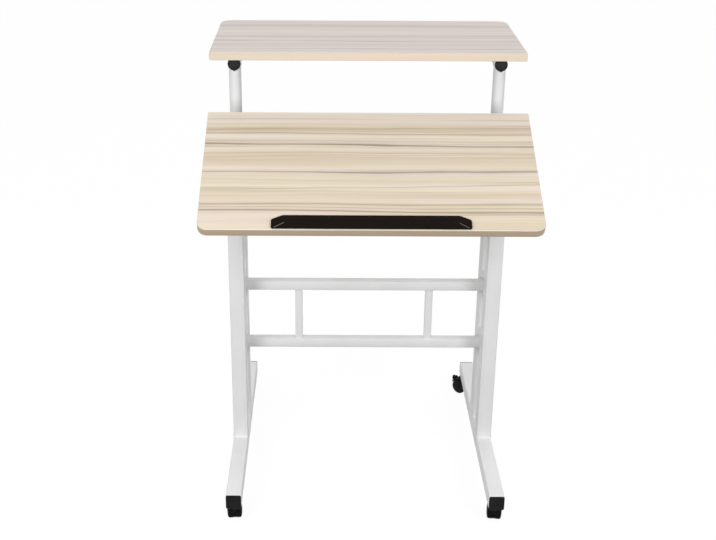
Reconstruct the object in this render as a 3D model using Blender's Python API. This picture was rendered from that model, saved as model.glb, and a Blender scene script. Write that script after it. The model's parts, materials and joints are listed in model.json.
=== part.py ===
"""Rolling laptop table: a tilting desktop and a shelf on a white steel frame with four castors.

Each side of the frame is a foot with two uprights. A lift tube slides in the front upright and carries
the desktop on a tilt arm, and a round post slides in the rear upright and carries the shelf. Knobs clamp
the heights and the tilt. X runs to the user's right, Y to the back and Z up, in metres.
"""
import math

import bmesh
import bpy
from mathutils import Matrix, Vector

MM = 0.001
SIDES = {"left": -1, "right": 1}
ENDS = {"front": -1, "rear": 1}

# Clearances
REST_GAP = 0.3 * MM
SLIDE_GAP = 0.3 * MM
HOLE_GAP = 0.3 * MM
WHEEL_GAP = 0.8 * MM

# Boards
BOARD_WIDTH = 600 * MM
BOARD_DEPTH = 300 * MM
BOARD_THICKNESS = 16 * MM
DESK_CORNER_RADIUS = 18 * MM
SHELF_CORNER_RADIUS = 25 * MM
BOARD_EDGE_RADIUS = 1 * MM

# Frame: feet, uprights, spacers, rails and struts
SIDE_INSET = 45 * MM
FRAME_TUBE_WIDTH = 30 * MM
FRAME_WALL = 1.5 * MM
FRAME_CORNER_RADIUS = 3 * MM
FOOT_TUBE_LENGTH = 554 * MM
FOOT_TUBE_HEIGHT = 30 * MM
UPRIGHT_DEPTH = 40 * MM
UPRIGHT_GAP = 45 * MM
UPRIGHT_TOP = 592 * MM
SPACER_WIDTH = 20 * MM
SPACER_HEIGHT = 50 * MM
RAIL_HEIGHTS = {"upper": 397 * MM, "lower": 267 * MM}
RAIL_TUBE_HEIGHT = 20 * MM
RAIL_TUBE_DEPTH = 20 * MM
RAIL_WALL = 1.2 * MM
RAIL_CORNER_RADIUS = 2 * MM
STRUT_SIZE = 15 * MM
STRUT_SPACING = 266 * MM

# Caps, collars and plugs
CAP_FLANGE = 3 * MM
CAP_INSERT = 12 * MM
CAP_EDGE = 1 * MM
COLLAR_FLANGE = 3 * MM
COLLAR_SLEEVE = 20 * MM
COLLAR_WALL = 0.9 * MM

# Desktop lift and tilt
LIFT_WALL = 1.5 * MM
LIFT_CORNER_RADIUS = 2 * MM
LIFT_BOTTOM = 212 * MM
LIFT_CAP_INSERT = 4 * MM
PIVOT_HEIGHT = 734 * MM
TUBE_ABOVE_PIVOT = 9 * MM
DESK_CLEARANCE = 2.2 * MM
DESK_REAR_OVERHANG = 8 * MM
REST_TILT = math.radians(26)
LEVEL_TILT = math.radians(0)
STEEPEST_TILT = math.radians(45)

# Tilt arms
ARM_PLATE = 3 * MM
ARM_BEND_RADIUS = 6 * MM
ARM_FRONT_INSET = 42 * MM
ARM_FLANGE_WIDTH = 25 * MM
ARM_TIP_HEIGHT = 14 * MM
ARM_TIP_RADIUS = 6 * MM
ARM_REAR_MARGIN = 13 * MM
SLOT_RADIUS = 32 * MM
SLOT_MARGIN = 6 * MM
ARM_SCREW_RADIUS = 2.5 * MM
ARM_SCREW_COUNT = 3
ARM_FIRST_SCREW = 45 * MM
ARM_LAST_SCREW = 25 * MM

# Stop ledge on the desktop
LEDGE_LENGTH = 345 * MM
LEDGE_DEPTH = 32 * MM
LEDGE_SHEET = 2 * MM
LEDGE_BEND_RADIUS = 3 * MM
LEDGE_SETBACK = 1 * MM
LEDGE_CORNER_LENGTH = 20 * MM
LEDGE_CORNER_DEPTH = 10 * MM
LEDGE_ROUNDING = 5 * MM
LEDGE_FRONT_ROUNDING = 7 * MM
LIP_HEIGHT = 17 * MM
LIP_END_HEIGHT = 4 * MM
LIP_END_FLAT = 5 * MM
LIP_TAPER = 19 * MM

# Shelf
SHELF_TOP = 874 * MM
SHELF_FRONT_OVERHANG = 44.5 * MM
POST_BOTTOM = 292 * MM
SHELF_ARM_DIAMETER = 25 * MM
SHELF_ARM_NOSE = 17.5 * MM
SHELF_ARM_REAR_INSET = 33 * MM
SHELF_TUBE_WALL = 1.5 * MM
PLUG_FLANGE = 2.5 * MM
PLUG_INSERT = 12 * MM

# Bolts and knobs
BOLT_RADIUS = 4 * MM
BOLT_HEAD_RADIUS = 8 * MM
BOLT_HEAD_HEIGHT = 4 * MM
NUT_FLATS = 13 * MM
NUT_HEIGHT = 6.5 * MM
BOLT_TAIL = 2 * MM
KNOB_RADIUS = 20 * MM
KNOB_LOBES = 6
KNOB_LOBE_DEPTH = 3.5 * MM
KNOB_HUB_RADIUS = 9 * MM
KNOB_HUB_HEIGHT = 5 * MM
KNOB_GRIP_HEIGHT = 13 * MM
KNOB_EDGE = 2.5 * MM
KNOB_BORE_DEPTH = 11 * MM
KNOB_BOSS_RADIUS = 8 * MM
KNOB_BOSS_HEIGHT = 6 * MM
KNOB_BELOW_TOP = 30 * MM

# Castors
CASTOR_HEIGHT = 42 * MM
CASTOR_INSET = 20 * MM
CASTOR_TRAIL = 15 * MM
CASTOR_HEADINGS = {
    "front_left": math.radians(5),
    "front_right": math.radians(-8),
    "rear_left": math.radians(75),
    "rear_right": math.radians(47),
}
STEM_RADIUS = 5 * MM
STEM_LENGTH = 19 * MM
SWIVEL_RADIUS = 9 * MM
SWIVEL_HEIGHT = 9 * MM
WHEEL_RADIUS = 17 * MM
WHEEL_PAIR_WIDTH = 25 * MM
WHEEL_EDGE = 2.5 * MM
WHEEL_DOME = 2.5 * MM
DOME_TURNS = [math.radians(turn) for turn in (20, 50, 90)]
AXLE_RADIUS = 2.5 * MM
HOOD_WALL = 2.5 * MM
HOOD_START = math.radians(25)
HOOD_END = math.radians(195)
WEB_THICKNESS = 5 * MM
WEB_FLOOR_GAP = 1.5 * MM

# Brake pedals on the rear castors
PEDAL_ANGLE = math.radians(36)
PEDAL_RISE = math.radians(36)
PEDAL_LENGTH = 6.5 * MM
PEDAL_WIDTH = 8 * MM
PEDAL_PLATE = 2.5 * MM
PEDAL_BARREL_RADIUS = 2.7 * MM
PEDAL_PIN_RADIUS = 1.5 * MM
PEDAL_LUG_RADIUS = 3.2 * MM
PEDAL_LUG_WIDTH = 2.5 * MM

# Facets
ROUND_STEPS = 16
BOLT_STEPS = 12
TUBE_STEPS = 24
WHEEL_STEPS = 20
KNOB_STEPS = 30
CORNER_STEPS = 2
ARC_STEPS = 8
HOOD_STEPS = 12
PIN_STEPS = 10

# Places that follow from the sizes above
SIDE_X = BOARD_WIDTH / 2 - SIDE_INSET
FOOT_TOP = CASTOR_HEIGHT + FOOT_TUBE_HEIGHT
UPRIGHT_Y = (UPRIGHT_GAP + UPRIGHT_DEPTH) / 2
COLLAR_RUN = 2 * (FRAME_WALL + REST_GAP + COLLAR_WALL + SLIDE_GAP)
LIFT_WIDTH = FRAME_TUBE_WIDTH - COLLAR_RUN
LIFT_DEPTH = UPRIGHT_DEPTH - COLLAR_RUN
POST_DIAMETER = FRAME_TUBE_WIDTH - COLLAR_RUN
LIFT_TOP = PIVOT_HEIGHT + TUBE_ABOVE_PIVOT
DESK_RISE = math.hypot(LIFT_DEPTH / 2, TUBE_ABOVE_PIVOT + CAP_FLANGE) + DESK_CLEARANCE
ARM_FACE = SIDE_X - LIFT_WIDTH / 2 - REST_GAP
ARM_REACH = BOARD_DEPTH - DESK_REAR_OVERHANG - ARM_FRONT_INSET
ARM_SCREW_PITCH = (ARM_REACH - ARM_FIRST_SCREW - ARM_LAST_SCREW) / (ARM_SCREW_COUNT - 1)
SHELF_UNDERSIDE = SHELF_TOP - BOARD_THICKNESS
SHELF_ARM_HEIGHT = SHELF_UNDERSIDE - REST_GAP - SHELF_ARM_DIAMETER / 2
SHELF_FRONT = UPRIGHT_Y - SHELF_FRONT_OVERHANG
BOLT_HOLE_RADIUS = BOLT_RADIUS + HOLE_GAP
CASTOR_Y = FOOT_TUBE_LENGTH / 2 - CASTOR_INSET
HOOD_RADIUS = WHEEL_RADIUS + WHEEL_GAP + HOOD_WALL
PEDAL_REACH = HOOD_RADIUS + REST_GAP + PEDAL_BARREL_RADIUS


# Flat outlines, as lists of point pairs

def arc(centre, radius, start, end, steps):
    """Points along an arc, both ends included."""
    turns = [start + (end - start) * step / steps for step in range(steps + 1)]
    return [(centre[0] + radius * math.cos(turn), centre[1] + radius * math.sin(turn)) for turn in turns]


def circle(radius, steps=ROUND_STEPS):
    turns = [2 * math.pi * (step + 0.5) / steps for step in range(steps)]
    return [(radius * math.cos(turn), radius * math.sin(turn)) for turn in turns]


def rectangle(width, height, radius, steps=CORNER_STEPS):
    """A rectangle with round corners, centred on the origin."""
    points = []
    for quarter in range(4):
        turn = quarter * math.pi / 2
        across = 1 if quarter in (0, 3) else -1
        up = 1 if quarter in (0, 1) else -1
        centre = (across * (width / 2 - radius), up * (height / 2 - radius))
        points += arc(centre, radius, turn, turn + math.pi / 2, steps)
    return points


def filleted(corners, steps=ARC_STEPS // 2):
    """A closed outline through corners that are each given with the radius that rounds them off."""
    points = []
    for index, (across, up, radius) in enumerate(corners):
        corner = Vector((across, up))
        back = (Vector(corners[index - 1][:2]) - corner).normalized()
        ahead = (Vector(corners[(index + 1) % len(corners)][:2]) - corner).normalized()
        opening = back.angle(ahead) / 2
        centre = corner + (back + ahead).normalized() * radius / math.sin(opening)
        reach = radius / math.tan(opening)
        if not radius:
            points.append((across, up))
            continue
        first = corner + back * reach - centre
        last = corner + ahead * reach - centre
        start = math.atan2(first.y, first.x)
        points += arc(centre, radius, start, start - first.angle_signed(last), steps)
    return points


def hexagon(flats, steps=BOLT_STEPS):
    """A hexagon across its flats, with as many points as a circle."""
    sector = math.pi / 3
    points = []
    for step in range(steps):
        turn = 2 * math.pi * step / steps
        reach = flats / 2 / math.cos((turn + sector / 2) % sector - sector / 2)
        points.append((reach * math.cos(turn), reach * math.sin(turn)))
    return points


def lobed(inset=0.0):
    """The grip outline of a star knob."""
    points = []
    for step in range(KNOB_STEPS):
        turn = 2 * math.pi * step / KNOB_STEPS
        dip = KNOB_LOBE_DEPTH * (1 - math.cos(KNOB_LOBES * turn)) / 2
        reach = KNOB_RADIUS - dip - inset
        points.append((reach * math.cos(turn), reach * math.sin(turn)))
    return points


def bent_sheet(length, height, sheet, radius):
    """An L section with a round bend: one leg along the first axis, the other up the second."""
    bend = (radius, radius)
    outer = arc(bend, radius, math.pi, 3 * math.pi / 2, ARC_STEPS // 2)
    inner = arc(bend, radius - sheet, 3 * math.pi / 2, math.pi, ARC_STEPS // 2)
    return [(0, height)] + outer + [(length, 0), (length, sheet)] + inner + [(sheet, height)]


# Solids

def ring(outline, distance, axis="Z"):
    """Lifts an outline to a distance along an axis."""
    if axis == "X":
        return [(distance, first, second) for first, second in outline]
    if axis == "Y":
        return [(first, distance, second) for first, second in outline]
    return [(first, second, distance) for first, second in outline]


def loft(rings, closed=False):
    """A solid through rings of equal count, capped at its ends or closed back to its first ring."""
    mesh = bpy.data.meshes.new("solid")
    shape = bmesh.new()
    loops = [[shape.verts.new(point) for point in points] for points in rings]
    pairs = list(zip(loops, loops[1:]))
    if closed:
        pairs.append((loops[-1], loops[0]))
    else:
        shape.faces.new(loops[0])
        shape.faces.new(loops[-1])
    for low, high in pairs:
        for index in range(len(low)):
            after = (index + 1) % len(low)
            shape.faces.new((low[index], low[after], high[after], high[index]))
    bmesh.ops.recalc_face_normals(shape, faces=shape.faces)
    shape.to_mesh(mesh)
    shape.free()
    return mesh


def prism(outline, low, high, axis="Z"):
    return loft([ring(outline, low, axis), ring(outline, high, axis)])


def tube(outer, inner, low, high, axis="Z"):
    rings = [ring(outer, low, axis), ring(outer, high, axis), ring(inner, high, axis), ring(inner, low, axis)]
    return loft(rings, closed=True)


def square_tube(width, height, wall, radius, low, high, axis="Z"):
    inner = rectangle(width - 2 * wall, height - 2 * wall, radius - wall / 2)
    return tube(rectangle(width, height, radius), inner, low, high, axis)


def round_tube(diameter, wall, low, high, axis="Z"):
    return tube(circle(diameter / 2, TUBE_STEPS), circle(diameter / 2 - wall, TUBE_STEPS), low, high, axis)


def moved(mesh, offset):
    mesh.transform(Matrix.Translation(offset))
    return mesh


def mirrored(mesh, side):
    """The same solid for the right side, or its mirror image for the left."""
    if side < 0:
        mesh.transform(Matrix.Scale(-1, 4, (1, 0, 0)))
        mesh.flip_normals()
    return mesh


def combine(base, tools, operation):
    """Joins a solid with others, cuts it by them or trims it to them, all in one frame."""
    solids = [bpy.data.objects.new("solid", mesh) for mesh in [base] + tools]
    for solid in solids:
        bpy.context.scene.collection.objects.link(solid)
    for tool in solids[1:]:
        step = solids[0].modifiers.new(operation, "BOOLEAN")
        step.object = tool
        step.operation = operation
        step.solver = "EXACT"
    bpy.context.view_layer.update()
    evaluated = solids[0].evaluated_get(bpy.context.evaluated_depsgraph_get())
    result = bpy.data.meshes.new_from_object(evaluated)
    for solid in solids:
        bpy.data.objects.remove(solid)
    return result


# Finishes and objects

def finish(name, colour, roughness, metallic=0.0):
    material = bpy.data.materials.new(name)
    material.use_nodes = True
    shader = material.node_tree.nodes["Principled BSDF"]
    shader.inputs["Base Color"].default_value = (*colour, 1)
    shader.inputs["Roughness"].default_value = roughness
    shader.inputs["Metallic"].default_value = metallic
    return material


def empty(name, parent=None, location=(0, 0, 0), rotation=(0, 0, 0)):
    holder = bpy.data.objects.new(name, None)
    bpy.context.scene.collection.objects.link(holder)
    holder.parent = parent
    holder.location = location
    holder.rotation_euler = rotation
    return holder


def piece(name, mesh, material, parent, location=(0, 0, 0), rotation=(0, 0, 0)):
    mesh.name = name
    mesh.materials.clear()
    mesh.materials.append(material)
    mesh.shade_smooth()
    mesh.set_sharp_from_angle(angle=math.radians(35))
    solid = bpy.data.objects.new(name, mesh)
    bpy.context.scene.collection.objects.link(solid)
    solid.parent = parent
    solid.location = location
    solid.rotation_euler = rotation
    return solid


# Frame

def foot_mesh():
    """A foot tube with a hole under each end for a castor's stem."""
    half = FOOT_TUBE_LENGTH / 2
    body = square_tube(FRAME_TUBE_WIDTH, FOOT_TUBE_HEIGHT, FRAME_WALL, FRAME_CORNER_RADIUS, -half, half, "Y")
    hole = circle(STEM_RADIUS + HOLE_GAP)
    holes = []
    for end in ENDS.values():
        drill = prism(hole, -FOOT_TUBE_HEIGHT, 0)
        holes.append(moved(drill, (0, end * CASTOR_Y, 0)))
    return combine(body, holes, "DIFFERENCE")


def tube_cap_mesh(width, height, wall, radius, insert, axis):
    """A moulded cap that points along the axis: a flange over the tube's end and an insert in its bore."""
    bore_width = width - 2 * (wall + REST_GAP)
    bore_height = height - 2 * (wall + REST_GAP)
    flange = rectangle(width, height, radius)
    face = rectangle(width - 2 * CAP_EDGE, height - 2 * CAP_EDGE, radius - CAP_EDGE / 2)
    plug = rectangle(bore_width, bore_height, radius - wall / 2)
    return loft([
        ring(plug, -insert, axis),
        ring(plug, REST_GAP, axis),
        ring(flange, REST_GAP, axis),
        ring(flange, CAP_FLANGE - CAP_EDGE, axis),
        ring(face, CAP_FLANGE, axis),
    ])


def upright_mesh():
    """An upright with a threaded boss on its outer face, for the height knob's stud."""
    low = FOOT_TOP + REST_GAP
    body = square_tube(
        FRAME_TUBE_WIDTH, UPRIGHT_DEPTH, FRAME_WALL, FRAME_CORNER_RADIUS, low, UPRIGHT_TOP)
    face = FRAME_TUBE_WIDTH / 2
    level = (0, 0, UPRIGHT_TOP - KNOB_BELOW_TOP)
    boss = moved(prism(circle(KNOB_BOSS_RADIUS), face - FRAME_WALL / 2, face + KNOB_BOSS_HEIGHT, "X"), level)
    hole = moved(prism(circle(BOLT_HOLE_RADIUS, BOLT_STEPS), 0, face + 2 * KNOB_BOSS_HEIGHT, "X"), level)
    return combine(combine(body, [boss], "UNION"), [hole], "DIFFERENCE")


def collar_mesh(bore):
    """A bush in an upright's mouth: a flange on top and a thin sleeve inside the wall."""
    steps = len(bore) // 4 - 1
    gap = FRAME_WALL + REST_GAP
    flange = rectangle(FRAME_TUBE_WIDTH, UPRIGHT_DEPTH, FRAME_CORNER_RADIUS, steps)
    edge_radius = FRAME_CORNER_RADIUS - CAP_EDGE / 2
    edge = rectangle(FRAME_TUBE_WIDTH - 2 * CAP_EDGE, UPRIGHT_DEPTH - 2 * CAP_EDGE, edge_radius, steps)
    sleeve = rectangle(
        FRAME_TUBE_WIDTH - 2 * gap, UPRIGHT_DEPTH - 2 * gap, FRAME_CORNER_RADIUS - FRAME_WALL / 2, steps)
    return loft([
        ring(sleeve, -COLLAR_SLEEVE),
        ring(sleeve, REST_GAP),
        ring(flange, REST_GAP),
        ring(flange, COLLAR_FLANGE - CAP_EDGE),
        ring(edge, COLLAR_FLANGE),
        ring(bore, COLLAR_FLANGE),
        ring(bore, -COLLAR_SLEEVE),
    ], closed=True)


def build_frame(root, white, black):
    bore_radius = LIFT_CORNER_RADIUS + SLIDE_GAP
    lift_bore = rectangle(LIFT_WIDTH + 2 * SLIDE_GAP, LIFT_DEPTH + 2 * SLIDE_GAP, bore_radius)
    bores = {"front": lift_bore, "rear": circle(POST_DIAMETER / 2 + SLIDE_GAP, TUBE_STEPS)}
    foot_end = FOOT_TUBE_LENGTH / 2
    foot_middle = CASTOR_HEIGHT + FOOT_TUBE_HEIGHT / 2
    for name, side in SIDES.items():
        piece(f"foot_{name}", foot_mesh(), white, root, (side * SIDE_X, 0, foot_middle))
        for end_name, end in ENDS.items():
            tag = f"{end_name}_{name}"
            cap = tube_cap_mesh(
                FRAME_TUBE_WIDTH, FOOT_TUBE_HEIGHT, FRAME_WALL, FRAME_CORNER_RADIUS, CAP_INSERT, "Y")
            turn = (0, 0, 0 if end > 0 else math.pi)
            piece(f"foot_cap_{tag}", cap, black, root, (side * SIDE_X, end * foot_end, foot_middle), turn)
            place = (side * SIDE_X, end * UPRIGHT_Y, 0)
            piece(f"upright_{tag}", mirrored(upright_mesh(), side), white, root, place)
            mouth = (side * SIDE_X, end * UPRIGHT_Y, UPRIGHT_TOP)
            piece(f"collar_{tag}", collar_mesh(bores[end_name]), black, root, mouth)
        for level_name, level in RAIL_HEIGHTS.items():
            reach = UPRIGHT_GAP / 2 - REST_GAP
            spacer = square_tube(
                SPACER_WIDTH, SPACER_HEIGHT, FRAME_WALL, RAIL_CORNER_RADIUS, -reach, reach, "Y")
            piece(f"spacer_{level_name}_{name}", spacer, white, root, (side * SIDE_X, 0, level))
    rail_end = SIDE_X - SPACER_WIDTH / 2 - REST_GAP
    for level_name, level in RAIL_HEIGHTS.items():
        rail = square_tube(
            RAIL_TUBE_DEPTH, RAIL_TUBE_HEIGHT, RAIL_WALL, RAIL_CORNER_RADIUS, -rail_end, rail_end, "X")
        piece(f"rail_{level_name}", rail, white, root, (0, 0, level))
    strut_bottom = RAIL_HEIGHTS["lower"] + RAIL_TUBE_HEIGHT / 2 + REST_GAP
    strut_top = RAIL_HEIGHTS["upper"] - RAIL_TUBE_HEIGHT / 2 - REST_GAP
    for name, side in SIDES.items():
        strut = square_tube(STRUT_SIZE, STRUT_SIZE, RAIL_WALL, RAIL_CORNER_RADIUS, strut_bottom, strut_top)
        piece(f"strut_{name}", strut, white, root, (side * STRUT_SPACING / 2, 0, 0))


# Knobs and bolts, which point outward along X

def knob_mesh(stud=0.0):
    """A star knob, with a stud of the given length or else with a blind bore."""
    shaft = circle(BOLT_RADIUS if stud else BOLT_HOLE_RADIUS, KNOB_STEPS)
    shaft_end = -stud if stud else KNOB_BORE_DEPTH
    hub = circle(KNOB_HUB_RADIUS, KNOB_STEPS)
    grip_low = KNOB_HUB_HEIGHT + KNOB_EDGE / 2
    grip_high = KNOB_HUB_HEIGHT + KNOB_GRIP_HEIGHT
    return loft([
        ring(shaft, shaft_end, "X"),
        ring(shaft, 0, "X"),
        ring(hub, 0, "X"),
        ring(hub, KNOB_HUB_HEIGHT, "X"),
        ring(lobed(), grip_low, "X"),
        ring(lobed(), grip_high - KNOB_EDGE, "X"),
        ring(lobed(KNOB_EDGE), grip_high, "X"),
    ])


def build_height_knobs(root, black):
    """Each stud ends just short of the tube that it clamps."""
    seat = FRAME_TUBE_WIDTH / 2 + KNOB_BOSS_HEIGHT + REST_GAP
    clamped = {"front": LIFT_WIDTH / 2, "rear": POST_DIAMETER / 2}
    for name, side in SIDES.items():
        for end_name, end in ENDS.items():
            stud = seat - clamped[end_name] - REST_GAP
            place = (side * (SIDE_X + seat), end * UPRIGHT_Y, UPRIGHT_TOP - KNOB_BELOW_TOP)
            piece(f"height_knob_{end_name}_{name}", mirrored(knob_mesh(stud), side), black, root, place)


def pivot_bolt_mesh():
    """A hexagon bolt through the lift tube, its head outside and its nut against the tilt arm."""
    outer = LIFT_WIDTH / 2 + REST_GAP
    inner = -(LIFT_WIDTH / 2 + 2 * REST_GAP + ARM_PLATE)
    shank = circle(BOLT_RADIUS, BOLT_STEPS)
    return loft([
        ring(shank, inner - NUT_HEIGHT - BOLT_TAIL, "X"),
        ring(shank, inner - NUT_HEIGHT, "X"),
        ring(hexagon(NUT_FLATS), inner - NUT_HEIGHT, "X"),
        ring(hexagon(NUT_FLATS), inner, "X"),
        ring(shank, inner, "X"),
        ring(shank, outer, "X"),
        ring(hexagon(NUT_FLATS), outer, "X"),
        ring(hexagon(NUT_FLATS), outer + BOLT_HEAD_HEIGHT, "X"),
    ])


def tilt_bolt_mesh():
    """A round-headed bolt from the tilt arm's slot out into the tilt knob."""
    outer = LIFT_WIDTH / 2 + REST_GAP
    inner = -(LIFT_WIDTH / 2 + 2 * REST_GAP + ARM_PLATE)
    return loft([
        ring(circle(BOLT_HEAD_RADIUS / 2, BOLT_STEPS), inner - BOLT_HEAD_HEIGHT, "X"),
        ring(circle(BOLT_HEAD_RADIUS, BOLT_STEPS), inner - BOLT_HEAD_HEIGHT / 2, "X"),
        ring(circle(BOLT_HEAD_RADIUS, BOLT_STEPS), inner, "X"),
        ring(circle(BOLT_RADIUS, BOLT_STEPS), inner, "X"),
        ring(circle(BOLT_RADIUS, BOLT_STEPS), outer + KNOB_BORE_DEPTH - REST_GAP, "X"),
    ])


# Desktop with its lift tubes and tilt arms

def lift_tube_mesh():
    body = square_tube(LIFT_WIDTH, LIFT_DEPTH, LIFT_WALL, LIFT_CORNER_RADIUS, LIFT_BOTTOM, LIFT_TOP)
    holes = []
    for level in (PIVOT_HEIGHT, PIVOT_HEIGHT - SLOT_RADIUS):
        drill = prism(circle(BOLT_HOLE_RADIUS, BOLT_STEPS), -LIFT_WIDTH, LIFT_WIDTH, "X")
        holes.append(moved(drill, (0, 0, level)))
    return combine(body, holes, "DIFFERENCE")


def arm_outline(top):
    """The tilt arm seen from its side, about the pivot: a tapered bar with a quadrant below for the slot."""
    quadrant = SLOT_RADIUS + BOLT_HOLE_RADIUS + SLOT_MARGIN
    spare = (BOLT_HOLE_RADIUS + SLOT_MARGIN) / SLOT_RADIUS
    straight_down = -math.pi / 2
    tip = (ARM_TIP_RADIUS - ARM_REACH, top - ARM_TIP_HEIGHT + ARM_TIP_RADIUS)
    rounded_tip = arc(tip, ARM_TIP_RADIUS, math.pi, 3 * math.pi / 2, ARC_STEPS // 2)
    steepest = straight_down - STEEPEST_TILT - spare
    belly = arc((0, 0), quadrant, steepest, straight_down - LEVEL_TILT + spare, ARC_STEPS)
    over = top + ARM_PLATE
    return [(-ARM_REACH, over)] + rounded_tip + [(-2 * SLOT_RADIUS, 0)] + belly + [(ARM_REAR_MARGIN, over)]


def slot_outline():
    """An arc slot about the pivot, from the level desktop's bolt place to the steepest one's."""
    first = -math.pi / 2 - STEEPEST_TILT
    last = -math.pi / 2 - LEVEL_TILT
    start = (SLOT_RADIUS * math.cos(first), SLOT_RADIUS * math.sin(first))
    end = (SLOT_RADIUS * math.cos(last), SLOT_RADIUS * math.sin(last))
    half = BOLT_HOLE_RADIUS
    return (
        arc((0, 0), SLOT_RADIUS + half, first, last, ARC_STEPS)
        + arc(end, half, last, last + math.pi, ARC_STEPS)[1:-1]
        + arc((0, 0), SLOT_RADIUS - half, last, first, ARC_STEPS)
        + arc(start, half, first + math.pi, first + 2 * math.pi, ARC_STEPS)[1:-1]
    )


def tilt_arm_mesh():
    """A bent plate: its web stands beside the lift tube and its flange lies under the desktop."""
    top = DESK_RISE - REST_GAP
    drop = SLOT_RADIUS + BOLT_HOLE_RADIUS + SLOT_MARGIN
    section = bent_sheet(ARM_FLANGE_WIDTH, top + 2 * drop, ARM_PLATE, ARM_BEND_RADIUS)
    folded = [(ARM_FACE - along, top - up) for along, up in section]
    sheet = prism(folded, -2 * ARM_REACH, ARM_REACH, "Y")
    side_view = prism(arm_outline(top), ARM_FACE - 2 * ARM_FLANGE_WIDTH, ARM_FACE + ARM_PLATE, "X")
    plate = combine(sheet, [side_view], "INTERSECT")
    across = (ARM_FACE - 2 * ARM_PLATE, ARM_FACE + ARM_PLATE)
    cuts = [prism(circle(BOLT_HOLE_RADIUS, BOLT_STEPS), *across, "X"), prism(slot_outline(), *across, "X")]
    for index in range(ARM_SCREW_COUNT):
        drill = prism(circle(ARM_SCREW_RADIUS, BOLT_STEPS), top - 2 * ARM_PLATE, top + ARM_PLATE)
        reach = ARM_FIRST_SCREW + index * ARM_SCREW_PITCH
        middle = ARM_FACE - (ARM_FLANGE_WIDTH + ARM_BEND_RADIUS) / 2
        cuts.append(moved(drill, (middle, -reach, 0)))
    return combine(plate, cuts, "DIFFERENCE")


def board_outline(round_end, corner_radius, inset):
    """A board with its front edge at zero: two square corners, and round ones at the front or the rear."""
    half = BOARD_WIDTH / 2 - inset
    radius = corner_radius - inset
    near = inset
    far = BOARD_DEPTH - inset
    if round_end == "rear":
        round_right = arc((half - radius, far - radius), radius, 0, math.pi / 2, ARC_STEPS)
        round_left = arc((radius - half, far - radius), radius, math.pi / 2, math.pi, ARC_STEPS)
        return [(-half, near), (half, near)] + round_right + round_left
    round_left = arc((radius - half, near + radius), radius, math.pi, 3 * math.pi / 2, ARC_STEPS)
    round_right = arc((half - radius, near + radius), radius, 3 * math.pi / 2, 2 * math.pi, ARC_STEPS)
    return [(half, far), (-half, far)] + round_left + round_right


def board_mesh(round_end, corner_radius):
    edge = BOARD_EDGE_RADIUS
    plan = board_outline(round_end, corner_radius, 0)
    eased = board_outline(round_end, corner_radius, edge)
    return loft([
        ring(eased, 0),
        ring(plan, edge),
        ring(plan, BOARD_THICKNESS - edge),
        ring(eased, BOARD_THICKNESS),
    ])


def ledge_mesh():
    """A bent sheet that stops a laptop from sliding: a base with cut corners and a tapered lip in front."""
    half = LEDGE_LENGTH / 2
    spare = LEDGE_SHEET / 4
    section = bent_sheet(LEDGE_DEPTH + spare, LIP_HEIGHT + spare, LEDGE_SHEET, LEDGE_BEND_RADIUS)
    sheet = prism(section, -half - spare, half + spare, "X")
    rear_flat = half - LEDGE_CORNER_LENGTH
    rear = LEDGE_DEPTH - LEDGE_CORNER_DEPTH
    right_plan = [
        (half, -spare, LEDGE_FRONT_ROUNDING),
        (half, rear, LEDGE_ROUNDING),
        (rear_flat, LEDGE_DEPTH, LEDGE_ROUNDING),
    ]
    left_plan = [(-across, along, radius) for across, along, radius in reversed(right_plan)]
    plan = filleted(right_plan + left_plan)
    shoulder = half - LIP_END_FLAT
    crest = shoulder - LIP_TAPER
    beyond = half + 2 * spare
    right_front = [
        (beyond, -spare, 0), (beyond, LIP_END_HEIGHT, 0),
        (shoulder, LIP_END_HEIGHT, LEDGE_ROUNDING), (crest, LIP_HEIGHT, LEDGE_ROUNDING),
    ]
    left_front = [(-across, up, radius) for across, up, radius in reversed(right_front)]
    front = filleted(right_front + left_front)
    trims = [
        prism(plan, -spare, LIP_HEIGHT + 2 * spare),
        prism(front, -2 * spare, LEDGE_DEPTH + 2 * spare, "Y"),
    ]
    return combine(sheet, trims, "INTERSECT")


def build_desk(root, white, black, steel, wood):
    pivot = empty("desk_pivot", root, (0, -UPRIGHT_Y, PIVOT_HEIGHT), (REST_TILT, 0, 0))
    front = DESK_REAR_OVERHANG - BOARD_DEPTH
    piece("desktop", board_mesh("front", DESK_CORNER_RADIUS), wood, pivot, (0, front, DESK_RISE))
    ledge_place = (0, front + LEDGE_SETBACK, DESK_RISE + BOARD_THICKNESS + REST_GAP)
    piece("ledge", ledge_mesh(), black, pivot, ledge_place)
    for name, side in SIDES.items():
        piece(f"tilt_arm_{name}", mirrored(tilt_arm_mesh(), side), white, pivot)
        middle = (side * SIDE_X, -UPRIGHT_Y, 0)
        piece(f"lift_tube_{name}", lift_tube_mesh(), white, root, middle)
        cap = tube_cap_mesh(LIFT_WIDTH, LIFT_DEPTH, LIFT_WALL, LIFT_CORNER_RADIUS, LIFT_CAP_INSERT, "Z")
        piece(f"lift_cap_{name}", cap, black, root, (side * SIDE_X, -UPRIGHT_Y, LIFT_TOP))
        pivot_place = (side * SIDE_X, -UPRIGHT_Y, PIVOT_HEIGHT)
        piece(f"pivot_bolt_{name}", mirrored(pivot_bolt_mesh(), side), steel, root, pivot_place)
        clamp = PIVOT_HEIGHT - SLOT_RADIUS
        clamp_place = (side * SIDE_X, -UPRIGHT_Y, clamp)
        piece(f"tilt_bolt_{name}", mirrored(tilt_bolt_mesh(), side), steel, root, clamp_place)
        knob_place = (side * (SIDE_X + LIFT_WIDTH / 2 + REST_GAP), -UPRIGHT_Y, clamp)
        piece(f"tilt_knob_{name}", mirrored(knob_mesh(), side), black, root, knob_place)


# Shelf with its posts and arms

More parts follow.
